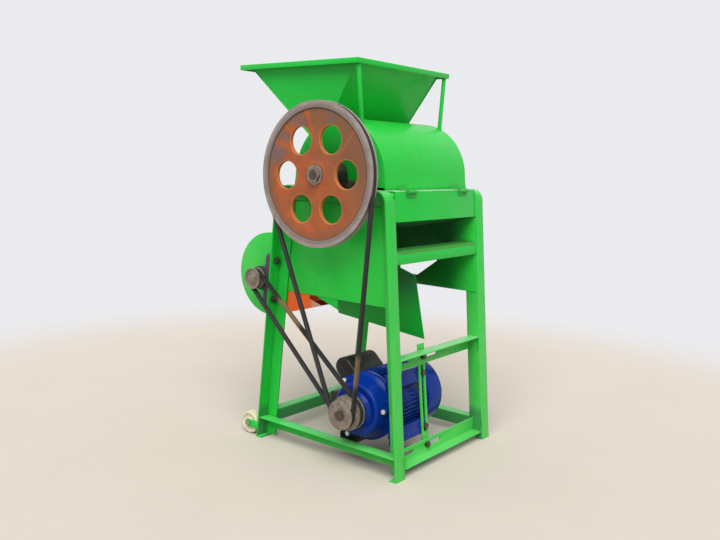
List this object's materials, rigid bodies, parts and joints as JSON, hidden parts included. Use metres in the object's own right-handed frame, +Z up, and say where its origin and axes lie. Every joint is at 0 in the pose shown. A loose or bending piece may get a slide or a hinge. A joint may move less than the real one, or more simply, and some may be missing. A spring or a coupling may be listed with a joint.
{
  "type": "peanut sheller",
  "caption": "Motor-driven peanut sheller: hopper over a hinged round cover, beater drum, belt-driven fan and motor on a splayed angle-iron stand.",
  "frame": {"origin": "floor level under the middle of the machine's box", "axes": "+Z up, +X towards the end where the shells come out, -Y towards the belt side"},
  "size_m": [0.5884, 0.5106, 1.007],
  "materials": {
    "green_paint": "glossy green enamel over sheet and angle iron",
    "inner_primer": "dull orange-red primer inside the fan casing",
    "rusty_iron": "cast iron with a light coat of rust and a bare turned rim",
    "grey_iron": "bare grey cast iron",
    "black_iron": "black painted cast iron",
    "blue_paint": "semi-gloss blue motor paint",
    "black_plastic": "smooth black moulded plastic",
    "belt_rubber": "matt black wedge-belt rubber",
    "bright_steel": "zinc-plated and turned steel",
    "dark_steel": "plain mild steel with a brown skin",
    "cream_plastic": "cream nylon"
  },
  "bodies": {
    "stand": {"side_frame_front": "green_paint", "side_frame_rear": "green_paint", "foot_plates": "green_paint", "bottom_rails": "green_paint", "upper_cross_bar": "green_paint", "back_cross_bar": "green_paint", "mid_cross_bar": "green_paint", "low_cross_bar": "green_paint", "side_plate_front": "green_paint", "side_plate_rear": "green_paint", "outlet_end_plate": "green_paint", "back_end_plate": "green_paint", "outlet_hood": "green_paint", "outlet_floor": "green_paint", "kernel_chute": "green_paint", "chute_skirt": "green_paint", "hinge_fixed_leaves": "green_paint", "fan_scroll": "green_paint", "slotted_bars": "green_paint", "wheel_brackets": "green_paint", "fan_bearings": "grey_iron", "drum_bearings": "black_iron", "motor_body": "blue_paint", "motor_front_shield": "blue_paint", "motor_rear_shield": "blue_paint", "motor_fan_cover": "blue_paint", "capacitor_covers": "black_plastic", "terminal_box": "black_plastic", "cable_gland": "black_plastic", "drum_belt": "belt_rubber", "fan_belt": "belt_rubber", "drum_bearing_bolts": "bright_steel", "fan_bearing_bolts": "bright_steel", "bar_bolts": "bright_steel", "motor_bolts": "bright_steel", "shield_screws": "bright_steel", "hinge_pins": "bright_steel", "wheel_axles": "bright_steel", "screen_ribs": "dark_steel", "screen_rods": "dark_steel"},
    "drum": {"drum_shaft": "dark_steel", "drum_discs": "dark_steel", "drum_bars": "dark_steel", "drum_pulley": "rusty_iron", "shaft_washer": "bright_steel", "shaft_nut": "bright_steel"},
    "motor_rotor": {"motor_rotor": "dark_steel", "motor_pulley": "grey_iron", "motor_fan": "black_plastic"},
    "fan": {"fan_shaft": "dark_steel", "fan_impeller": "inner_primer", "fan_pulley": "grey_iron"},
    "cover": {"cover": "green_paint", "hopper": "green_paint", "hopper_rim": "green_paint", "hopper_rods": "green_paint", "hinge_cover_leaves": "green_paint"},
    "wheel_front": {"wheel_front": "cream_plastic"},
    "wheel_rear": {"wheel_rear": "cream_plastic"}
  },
  "joints": [
    {"name": "drum_spin", "type": "hinge", "parent": "stand", "child": "drum", "pos_m": [0.05424, 0, 0.7275], "axis": [0, 1, 0], "continuous": true},
    {"name": "motor_spin", "type": "hinge", "parent": "stand", "child": "motor_rotor", "pos_m": [0.15216, 0, 0.15], "axis": [0, 1, 0], "continuous": true},
    {"name": "fan_spin", "type": "hinge", "parent": "stand", "child": "fan", "pos_m": [-0.18174, 0, 0.44524], "axis": [0, 1, 0], "continuous": true},
    {"name": "cover_hinge", "type": "hinge", "parent": "stand", "child": "cover", "pos_m": [0.2355, 0, 0.693], "axis": [0, 1, 0], "range_deg": [0, 100]},
    {"name": "wheel_front_spin", "type": "hinge", "parent": "stand", "child": "wheel_front", "pos_m": [-0.21791, -0.18325, 0.032], "axis": [0, 1, 0], "continuous": true},
    {"name": "wheel_rear_spin", "type": "hinge", "parent": "stand", "child": "wheel_rear", "pos_m": [-0.21791, 0.23375, 0.032], "axis": [0, 1, 0], "continuous": true}
  ],
  "couplings": [
    {"joint": "motor_spin", "follows": "drum_spin", "ratio": 5.4286},
    {"joint": "fan_spin", "follows": "drum_spin", "ratio": 9.2889}
  ]
}
